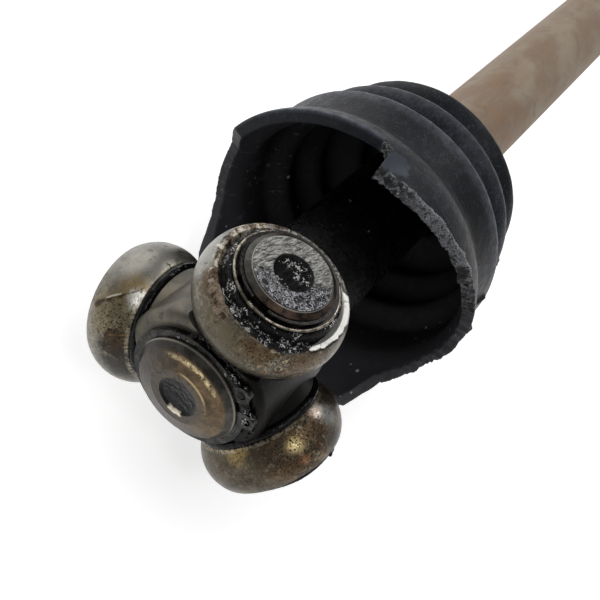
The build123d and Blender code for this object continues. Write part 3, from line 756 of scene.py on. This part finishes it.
# ---- Mesh helpers ----
def mesh_piece(name, points, faces, material, body, attributes=None, more=(), picks=None):
    mesh = bpy.data.meshes.new(name)
    mesh.from_pydata([tuple(p) for p in np.asarray(points) * MM], [], faces)
    mesh.polygons.foreach_set("use_smooth", [True] * len(mesh.polygons))
    for key, values in (attributes or {}).items():
        layer = mesh.attributes.new(key, "FLOAT", "POINT")
        layer.data.foreach_set("value", np.asarray(values, np.float32))
    for used in (material, *more):
        mesh.materials.append(used)
    if picks is not None:
        mesh.polygons.foreach_set("material_index", picks)
    piece = bpy.data.objects.new(name, mesh)
    bpy.context.scene.collection.objects.link(piece)
    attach(piece, body)
    return piece


def sheet_faces(rows, columns, closed_rows=False):
    """Faces of a grid that closes on itself along its columns, and along its rows if asked."""
    faces = []
    for i in range(rows if closed_rows else rows - 1):
        below = (i + 1) % rows
        for j in range(columns):
            after = (j + 1) % columns
            here, under = i * columns, below * columns
            faces.append((here + j, under + j, under + after, here + after))
    return faces


def rounded(points, rounds):
    """Cuts the corners of an open chain again and again, which rounds them."""
    for _ in range(rounds):
        cut = [points[0]]
        for (ax, ay), (bx, by) in zip(points, points[1:]):
            cut.append((ax * 0.75 + bx * 0.25, ay * 0.75 + by * 0.25))
            cut.append((ax * 0.25 + bx * 0.75, ay * 0.25 + by * 0.75))
        points = cut + [points[-1]]
    return points


def lumps(points, size, seed):
    """Smooth noise from -1 to 1 at each point."""
    shift = Vector((seed * 17.3, seed * 5.1, seed * 9.7))
    return np.array([noise.noise(Vector(p) / size + shift) for p in points])


# ---- Boot ----
def boot_edge(angles):
    """Where the wall ends along the shaft, and how ragged it is, at each angle in degrees."""
    table = sorted(TORN_EDGE)
    known = [a - 360 for a, _ in table] + [a for a, _ in table] + [a + 360 for a, _ in table]
    edge = np.interp(angles, known, [x for _, x in table] * 3)
    calm = [0, 8, 12, 72, 80, 140, 160, 230, 250, 300, 360]
    rough = np.interp(angles, calm, [1, 1, 0.0, 0.0, 0.25, 0.3, 0.6, 0.7, 0.8, 1, 1])
    return edge, rough


def make_boot(outer, inner, torn):
    columns = 720
    angles = np.arange(columns) * 360 / columns
    turn = np.radians(angles)
    ring = np.stack([np.zeros(columns), np.sin(turn), np.cos(turn)], 1)
    edge, rough = boot_edge(angles)
    around_rim = ring * CUFF_RADIUS

    def raggedness(*layers):
        return sum(lumps(around_rim, size, seed) * strength for size, seed, strength in layers)

    ragged = raggedness((3.2, 1, 0.9), (1.1, 2, 0.55), (0.5, 3, 0.3))
    ragged_inside = raggedness((2.4, 4, 1.0), (0.9, 5, 0.6), (0.4, 6, 0.35))
    outer_edge = edge + ragged * rough
    inner_edge = edge + ragged_inside * rough - 0.4 * rough
    outline = np.array(rounded(BOOT_OUTSIDE, 3))
    walls = [(x, r - (CUFF_WALL if x < 45 else BOOT_WALL)) for x, r in BOOT_OUTSIDE[:-2]]
    inline = np.array(rounded(walls + [(107.0, 14.6)], 3))
    middle = 52.0

    def outside(x):
        return np.interp(x, outline[:, 0], outline[:, 1])

    def inside(x):
        return np.interp(x, inline[:, 0], inline[:, 1])

    rows = []
    marks = []

    def row(x, radius, is_inside, grease, wear_and_sheen):
        x = np.broadcast_to(x, (columns,))
        radius = np.broadcast_to(radius, (columns,))
        points = ring * radius[:, None]
        points[:, 0] = x
        rows.append(points)
        marks.append([np.broadcast_to(m, (columns,)) for m in (is_inside, grease, wear_and_sheen)])

    neat = np.clip(1 - rough * 3, 0, 1)
    round_off = 0.45
    for x in [116.5] + list(np.arange(115.8, 107.2, -1.2)) + list(np.arange(107.0, middle, -0.5)):
        row(x, outside(x), 0, 0, 0)
    steps = 26
    for i in range(steps):
        share = (i + 0.5) / steps
        x = middle + (outer_edge + round_off - middle) * share
        close = np.clip(1 - (x - outer_edge) / 2.2, 0, 1)
        row(x, outside(x), 0, rough * np.clip(close * 4 - 3, 0, 1), neat * close)
    thick_out = outside(outer_edge)
    row(outer_edge + 0.12, thick_out - 0.12, 0, rough, neat)
    row(outer_edge, thick_out - round_off, 0.2, rough, neat * 0.5)
    thick_in = inside(inner_edge)
    for share in (0.2, 0.35, 0.5, 0.65, 0.8, 0.92):
        bulge = lumps(around_rim * (1 + share), 0.7, 8) * 0.5 * rough
        x = outer_edge + (inner_edge - outer_edge) * share + bulge
        row(x, thick_out - round_off + (thick_in + round_off - thick_out) * share, 0.6, rough, 0)
    row(inner_edge + 0.15, thick_in + 0.1, 1, rough, 0)
    inner_steps = 20
    for i in range(inner_steps):
        share = (i + 0.5) / inner_steps
        x = inner_edge + 0.5 + (middle - inner_edge - 0.5) * share
        close = np.clip(1 - (x - inner_edge) / 1.6, 0, 1)
        row(x, inside(x), 1, rough * close * 0.8, 0)
    for x in list(np.arange(middle, 107.0, 0.5)):
        row(x, inside(x), 1, 0, 0)
    bore = ((107.1, 14.2), (107.3, 13.2), (108, 13.06), (112, 13.06), (116.4, 13.06), (116.5, 13.6))
    for x, radius in bore:
        row(x, radius, 1, 0, 0)

    points = np.concatenate(rows)
    marks = np.concatenate([np.stack(m, 1) for m in marks])
    radii = np.hypot(points[:, 1], points[:, 2])
    unit = points[:, 1:] / radii[:, None]
    free = np.clip((112 - points[:, 0]) / 14, 0, 1)
    swell = lumps(points, 26, 21) * 0.35 + lumps(points, 5, 22) * 0.08
    angle = np.degrees(np.arctan2(points[:, 1], points[:, 2])) % 360
    seam = np.exp(-(((angle - PARTING_ANGLE) / 0.9) ** 2))
    wobble = np.clip(lumps(points * [1, 0, 0], 4.0, 23) * 2 + 0.3, 0, 1)
    swell += seam * 1.0 * wobble * (marks[:, 0] < 0.5)
    swell = np.minimum(swell, CUFF_RADIUS - 0.03 - radii)
    points[:, 1:] += unit * (swell * free)[:, None]
    faces = sheet_faces(len(rows), columns, closed_rows=True)
    corners = np.array(faces)
    picks = np.where(marks[corners, 0].mean(1) > 0.9, 1, 0)
    torn_faces = marks[corners, 1].mean(1) > 0.12
    turned = (angle[corners[:, 0]] + 60) % 360
    picks = np.where(torn_faces, np.where(turned < 84, 2, 1), picks)
    # Painted highlight: the fold crests are marked for paler paint, then joined with the rim edge,
    # which is worn and also painted as a highlight.
    crest = np.interp(points[:, 0], [60.5, 63.5, 66, 68.5], [0, 0.55, 0.55, 0])
    crest += np.interp(points[:, 0], [73.5, 76.5, 78.5, 80.5], [0, 0.3, 0.3, 0])
    crest *= marks[:, 0] < 0.5
    wear_and_sheen = np.maximum(marks[:, 2], crest)
    marks_kept = {"edge": wear_and_sheen}
    piece = mesh_piece(
        "boot_skin", points, faces, outer, "half_shaft", marks_kept, (inner, torn), picks
    )
    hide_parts("boot")


# ---- Grease ----
def outward(axis, turn):
    """Unit vector across an axis. Turn 0 is along the shaft, or up for the shaft itself."""
    first = Vector((1, 0, 0)) if abs(axis.x) < 0.5 else Vector((0, 0, 1))
    return first * math.cos(turn) + axis.cross(first) * math.sin(turn)


def crown(radius):
    """Height of the roller's outer end over its centre: mouth bevel, flat rim, then crown."""
    if radius < ROLLER_MOUTH:
        return ROLLER_OUTER_HALF - (ROLLER_MOUTH - radius)
    if radius <= CROWN_CENTRE + math.sqrt(CROWN_RADIUS**2 - ROLLER_OUTER_HALF**2):
        return ROLLER_OUTER_HALF
    return math.sqrt(max(0.0, CROWN_RADIUS**2 - (radius - CROWN_CENTRE) ** 2))


def lumpy_ring(name, axis, section, material, body, columns=300, size=1.1, seed=1):
    """Ring of grease round an axis. section(angle) gives its outline as (radius, height, roughness)."""
    sections = []
    for j in range(columns):
        angle = 2 * math.pi * j / columns
        out = outward(axis, angle)
        sections.append([(tuple(out * r + axis * h), rough) for r, h, rough in section(angle)])
    count = len(sections[0])
    points = np.array([[sections[j][i][0] for j in range(columns)] for i in range(count)])
    rough = np.array([[sections[j][i][1] for j in range(columns)] for i in range(count)])
    away = points - points.mean(0)
    away /= np.linalg.norm(away, axis=2, keepdims=True) + 1e-6
    flat = points.reshape(-1, 3)
    push = lumps(flat, size, seed) + lumps(flat, size * 0.42, seed + 3) * 0.6
    points = points + away * (push.reshape(count, columns) * rough)[:, :, None]
    faces = sheet_faces(count, columns, True)
    return mesh_piece(name, points.reshape(-1, 3), faces, material, body)


def oval(radius, height, wide, tall, rough, points=16):
    """Closed oval outline round (radius, height)."""
    turns = [2 * math.pi * i / points for i in range(points)]
    return [(radius + wide * math.cos(t), height + tall * math.sin(t), rough) for t in turns]


def wave(angle, seed, *strengths):
    """Smooth periodic curve made of a few harmonics."""
    return sum(s * math.sin((k + 1) * angle + seed * (k + 1.7)) for k, s in enumerate(strengths))


def mouth_section(index):
    """Grease over the needle ends and in the roller's mouth, spilling over its rim on one side."""
    centre = ROLLER_CENTRES[index]
    degrees, reaches, thicknesses = zip(*MOUTH_GREASE[index])

    def section(angle):
        here = math.degrees(angle)
        reach = np.interp(here, degrees, reaches, period=360)
        reach += wave(angle, 2.0 + index, 0.0, 0.05, 0.05, 0.06, 0.06, 0.06)
        lying = np.interp(here, degrees, thicknesses, period=360)
        spill = 1.0 if reach > 14.3 and index == 0 else 0.0
        reach = max(13.1, reach)
        top = centre + ROLLER_OUTER_HALF
        line = [
            (11.6, WASHER_TOP - 0.85, 0.02), (12.4, WASHER_TOP - 0.95, 0.05),
            (12.85, WASHER_TOP - 1.12, 0.07), (13.0, WASHER_TOP - 1.7, 0.08),
        ]
        steps = 12
        for i in range(steps + 1):
            radius = 13.05 + (reach - 13.05) * i / steps
            thick = lying * math.sqrt(max(0.0, 1 - (i / steps) ** 3)) + 0.02
            rough = 0.06 + 0.24 * spill if i > 4 else 0.06
            line.append((radius, centre + crown(radius) + thick, rough))
        line.append((reach - 0.05, centre + crown(reach) - 0.15, 0.0))
        line += [(13.2, top - 1.4, 0.0), (12.87, top - 1.6, 0.0), (12.6, top + 0.9, 0.0)]
        line.append((11.6, WASHER_TOP - 1.05, 0.0))
        return line

    return section


def gap_section(index):
    """Grease squeezed out between the hub's boss and the roller's inner end."""
    top = ROLLER_CENTRES[index] - ROLLER_INNER_HALF

    def section(angle):
        reach = 15.0 + wave(angle, 5.0 + index, 0.14, 0.12, 0.10, 0.08)
        middle = (BOSS_TOP + top) / 2
        return oval(reach - 1.35, middle, 1.35, (top - BOSS_TOP) / 2 + 0.30, 0.10)

    return section


def moat_section(angle):
    """Grease round the shaft's nose, over the circlip."""
    turned = (math.degrees(angle) + 180) % 360 - 180
    near_gap = math.exp(-((math.radians(turned - CIRCLIP_GAP)) ** 2) / 0.5)
    thick = np.interp(turned, [-150, -112, 38, 62], [0.0, 1.0, 1.0, 0.0])
    reach = 13.35 + thick * (0.85 + wave(angle, 1.0, 0.22, 0.18, 0.15, 0.12, 0.1) + 1.3 * near_gap)
    middle, wide = (reach + 13.0) / 2, (reach - 13.0) / 2
    return oval(middle, 14.95 - 0.2 * thick, wide, 0.22 + 0.40 * thick, 0.04 + 0.18 * thick)


def plug(name, axis, height, radius, swell, material, body, seed):
    """Lumpy disc of grease that fills a drilling, highest at its edge. swell is how lumpy it is."""
    columns = 96
    outs = [outward(axis, 2 * math.pi * j / columns) for j in range(columns)]
    points = []
    shares = [0.04 + 0.96 * i / 30 for i in range(31)]
    for share in shares:
        rise = height - 0.35 * (1 - share**2)
        points += [tuple(out * radius * share + axis * rise) for out in outs]
    points = np.array(points)
    push = lumps(points, 1.1, seed) * swell + lumps(points, 0.5, seed + 1) * swell * 0.6
    push *= np.repeat(np.clip((1 - np.array(shares)) * 8, 0.1, 1), columns)
    points = points + np.array(tuple(axis)) * push[:, None]
    under = [tuple(out * radius + axis * (height - 1.2)) for out in outs]
    points = np.concatenate([points, np.array(under)])
    rows = len(shares) + 1
    faces = sheet_faces(rows, columns)
    faces.append(tuple(range(columns)))
    faces.append(tuple(range((rows - 1) * columns, rows * columns))[::-1])
    return mesh_piece(name, points, faces, material, body)


def make_drops(name, spots, material, body):
    """Small flattened beads. spots are (point, normal, radius)."""
    points = []
    faces = []
    rings = 7
    sides = 14
    for centre, normal, radius in spots:
        up = Vector(normal).normalized()
        first = up.orthogonal().normalized()
        second = up.cross(first)
        base = len(points)
        squash = random.uniform(0.45, 0.8)
        stretch = random.uniform(0.8, 1.5)
        for i in range(1, rings):
            polar = math.pi * i / rings
            for j in range(sides):
                turn = 2 * math.pi * j / sides
                flat = first * math.cos(turn) * stretch + second * math.sin(turn)
                away = flat * math.sin(polar) + up * math.cos(polar) * squash
                points.append(tuple(Vector(centre) + radius * away))
        points.append(tuple(Vector(centre) + up * radius * squash))
        points.append(tuple(Vector(centre) - up * radius * squash))
        top = len(points) - 2
        last = base + (rings - 2) * sides
        for j in range(sides):
            after = (j + 1) % sides
            for i in range(rings - 2):
                a = base + i * sides
                faces.append((a + j, a + sides + j, a + sides + after, a + after))
            faces.append((top, base + j, base + after))
            faces.append((top + 1, last + after, last + j))
    return mesh_piece(name, points, faces, material, body)


def at_angle(x, radius, degrees):
    """Point round the shaft, from +Z towards +Y, and the direction outwards."""
    turn = math.radians(degrees)
    out = Vector((0, math.sin(turn), math.cos(turn)))
    return Vector((x, 0, 0)) + out * radius, out


# ---- Put it together ----
grease = make_smooth_grease("black_grease", 0.9)
calm_grease = make_smooth_grease("calm_grease", 0.0)
gritty_grease = make_gritty_grease()
make_boot(make_rubber(), make_rubber_inside(), make_torn_rubber())


def paint(name, material):
    nodes[name].data.materials.clear()
    nodes[name].data.materials.append(material)


for index, axis in enumerate(TRUNNIONS):
    number = index + 1
    paint("roller_%d" % number, make_roller_steel(index))
    for name, steel, dark, light, roughness, darkening in BEARING_STEELS:
        edge = (axis, WASHER_RUBBED_HIGHLIGHT) if name == "outer_washer" else None
        steel = "%s_%d_steel" % (steel, number)
        paint("%s_%d" % (name, number), make_plain_steel(steel, dark, light, roughness, darkening, edge))
paint("axle_shaft", make_shaft_steel())
paint("spider", make_hub_steel())
for name, steel, dark, light, roughness, darkening in RING_STEELS:
    paint(name, make_plain_steel(steel + "_steel", dark, light, roughness, darkening))

for index, axis in enumerate(TRUNNIONS):
    number = index + 1
    name = "mouth_grease_%d" % number
    paste = gritty_grease if index == 0 else calm_grease
    lumpy_ring(name, axis, mouth_section(index), paste, "roller_%d" % number, columns=420, seed=number)
    name = "gap_grease_%d" % number
    lumpy_ring(name, axis, gap_section(index), calm_grease, "half_shaft", seed=number + 6)
    name = "trunnion_plug_%d" % number
    plug(name, axis, TRUNNION_TOP - 0.5, 4.45, 0.5, gritty_grease, "half_shaft", number + 20)
nose_axis = Vector((-1, 0, 0))
lumpy_ring("shaft_grease", nose_axis, moat_section, grease, "half_shaft", seed=15)
plug("nose_plug", nose_axis, -NOSE_TIP - 0.45, 4.6, 0.10, calm_grease, "half_shaft", 31)

beads = []
for _ in range(BEADS_AT_NOSE):
    x = -14.6 - random.uniform(0, 0.5)
    place, _ = at_angle(x, random.uniform(14.3, 17.4), random.uniform(-95, 25))
    beads.append((place, (-1, 0, 0), random.uniform(0.18, 0.55)))
for degrees, x in SHAFT_BEADS:
    place, out = at_angle(x, SHAFT_BEAD_PLACE, degrees)
    beads.append((place, out, SHAFT_BEAD_SIZE))
make_drops("grease_beads", beads, grease, "half_shaft")
axis = TRUNNIONS[2]
rim_beads = []
for degrees, radius, height, size in RIM_BEADS:
    out = outward(axis, math.radians(degrees))
    rim_beads.append((out * radius + axis * height, out, size))
make_drops("rim_beads", rim_beads, calm_grease, "roller_3")

# ---- Floor, light and camera ----
floor_mesh = bpy.data.meshes.new("floor")
floor_z = cad_box[0][2] - 0.0005
turns = [2 * math.pi * i / FLOOR_SIDES for i in range(FLOOR_SIDES)]
rim_points = [(FLOOR_REACH * math.cos(t), FLOOR_REACH * math.sin(t)) for t in turns]
levels = (floor_z, floor_z + WALL_HEIGHT)
walls = []
for i in range(FLOOR_SIDES):
    after = (i + 1) % FLOOR_SIDES
    walls.append((i, FLOOR_SIDES + i, FLOOR_SIDES + after, after))
floor_mesh.from_pydata(
    [(x, y, z) for z in levels for x, y in rim_points], [], [tuple(range(FLOOR_SIDES))] + walls
)
floor = bpy.data.objects.new("floor", floor_mesh)
bpy.context.scene.collection.objects.link(floor)
paper = Graph("floor_paper")
white = paper.node("BsdfDiffuse", {"Color": (FLOOR_TONE, FLOOR_TONE, FLOOR_TONE, 1)}).outputs[0]
rays = paper.node("LightPath", {}).outputs
seen = paper.add(paper.add(rays["Is Camera Ray"], rays["Is Glossy Ray"]), rays["Is Transmission Ray"])
bright = paper.node("Math", {0: seen, 1: FLOOR_GLOW}, operation="MULTIPLY", use_clamp=True).outputs[0]
glow = paper.node("Emission", {"Strength": bright}).outputs[0]
floor_mesh.materials.append(paper.surface(paper.node("AddShader", {0: white, 1: glow}).outputs[0]))

world = bpy.data.worlds.new("studio")
bpy.context.scene.world = world
world.use_nodes = True
background = world.node_tree.nodes["Background"]
background.inputs["Color"].default_value = (1.0, 1.0, 1.0, 1)
background.inputs["Strength"].default_value = WORLD_STRENGTH

for name, direction, distance, size, power in LAMPS:
    lamp = bpy.data.lights.new(name, "AREA")
    lamp.shape = "DISK"
    lamp.size = size
    lamp.energy = power
    holder = bpy.data.objects.new(name, lamp)
    bpy.context.scene.collection.objects.link(holder)
    away = Vector(direction).normalized()
    holder.location = away * distance
    holder.rotation_euler = away.to_track_quat("Z", "Y").to_euler()

view = bpy.data.cameras.new("camera")
view.sensor_width = 36.0
view.lens = CAMERA_LENS
view.clip_start = 0.01
camera = bpy.data.objects.new("camera", view)
bpy.context.scene.collection.objects.link(camera)
back = Vector(CAMERA_BACK).normalized()
right = Vector(CAMERA_UP).cross(back).normalized()
turned = Matrix((right, back.cross(right), back)).transposed().to_4x4()
camera.matrix_world = Matrix.Translation(CAMERA_PLACE) @ turned
bpy.context.scene.camera = camera
bpy.context.scene.view_settings.view_transform = "Standard"
